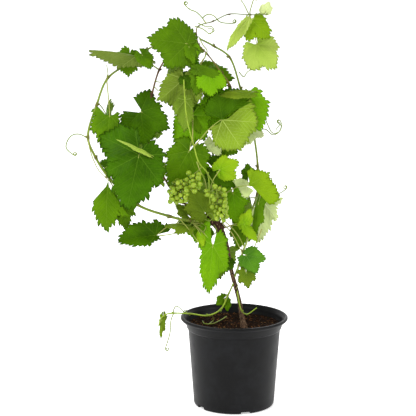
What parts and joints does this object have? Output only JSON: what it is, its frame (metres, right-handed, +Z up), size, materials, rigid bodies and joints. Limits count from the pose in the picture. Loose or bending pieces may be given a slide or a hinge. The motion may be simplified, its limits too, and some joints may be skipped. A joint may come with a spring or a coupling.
{
  "type": "potted grapevine",
  "caption": "Young fruiting grapevine in a round black nursery pot, with arching canes, lobed leaves, curling tendrils and small unripe green bunches.",
  "frame": {"origin": "centre of the pot's flat underside, on the surface that it stands on", "axes": "+Z up, +X to the right and -Y towards the viewer, seen from the side that it is looked at from"},
  "size_m": [0.3831, 0.2121, 0.713],
  "materials": {
    "pot": "matte black, slightly worn",
    "compost": "loose dark brown compost with bits of bark",
    "bark": "rough grey-brown bark in strips",
    "brown_cane": "smooth ripened wood with nodes",
    "green_cane": "smooth olive green, half ripe",
    "young_shoot": "soft pale green shoot",
    "foliage": "satin green leaves, paler underneath",
    "young_foliage": "thin yellow-green young leaves and tendrils",
    "grapes": "hard green berries with a light bloom"
  },
  "bodies": {
    "root": {"bunch_left": "grapes", "bunch_left_upper": "grapes", "bunch_right": "grapes", "centre_shoot": "young_shoot", "ground_shoot": "young_shoot", "inner_cane_low": "brown_cane", "inner_cane_top": "brown_cane", "leaf_left_back": "foliage", "leaf_left_small": "foliage", "leaf_right_back": "foliage", "leaf_right_edge": "foliage", "leaf_right_small": "foliage", "leaf_trunk": "foliage", "leaves_back_right": "foliage", "leaves_basal": "foliage", "leaves_base_centre": "foliage", "leaves_base_right": "foliage", "leaves_behind_bunch": "foliage", "leaves_centre_left": "foliage", "leaves_centre_right": "foliage", "leaves_centre_top": "foliage", "leaves_heart": "foliage", "leaves_inner_top": "foliage", "leaves_left": "foliage", "leaves_left_front": "foliage", "leaves_left_inner": "foliage", "leaves_low_left": "foliage", "leaves_low_right": "foliage", "leaves_lower_left": "foliage", "leaves_middle": "foliage", "leaves_right": "foliage", "leaves_right_low": "foliage", "leaves_right_top": "foliage", "leaves_top": "foliage", "leaves_top_right": "young_foliage", "leaves_upper_left": "foliage", "main_cane_low": "brown_cane", "main_cane_tip": "brown_cane", "main_cane_top": "brown_cane", "outer_cane_low": "green_cane", "outer_cane_middle": "green_cane", "outer_cane_top": "green_cane", "pot": "pot", "right_cane_low": "green_cane", "right_cane_middle": "green_cane", "right_cane_top": "green_cane", "shoot_tip_top": "young_foliage", "shoot_tip_trailing": "young_foliage", "soil": "compost", "tendril_left": "young_foliage", "tendril_trailing": "young_foliage", "tendrils_top": "young_foliage", "trailing_shoot": "young_shoot", "trunk": "bark"}
  },
  "joints": []
}
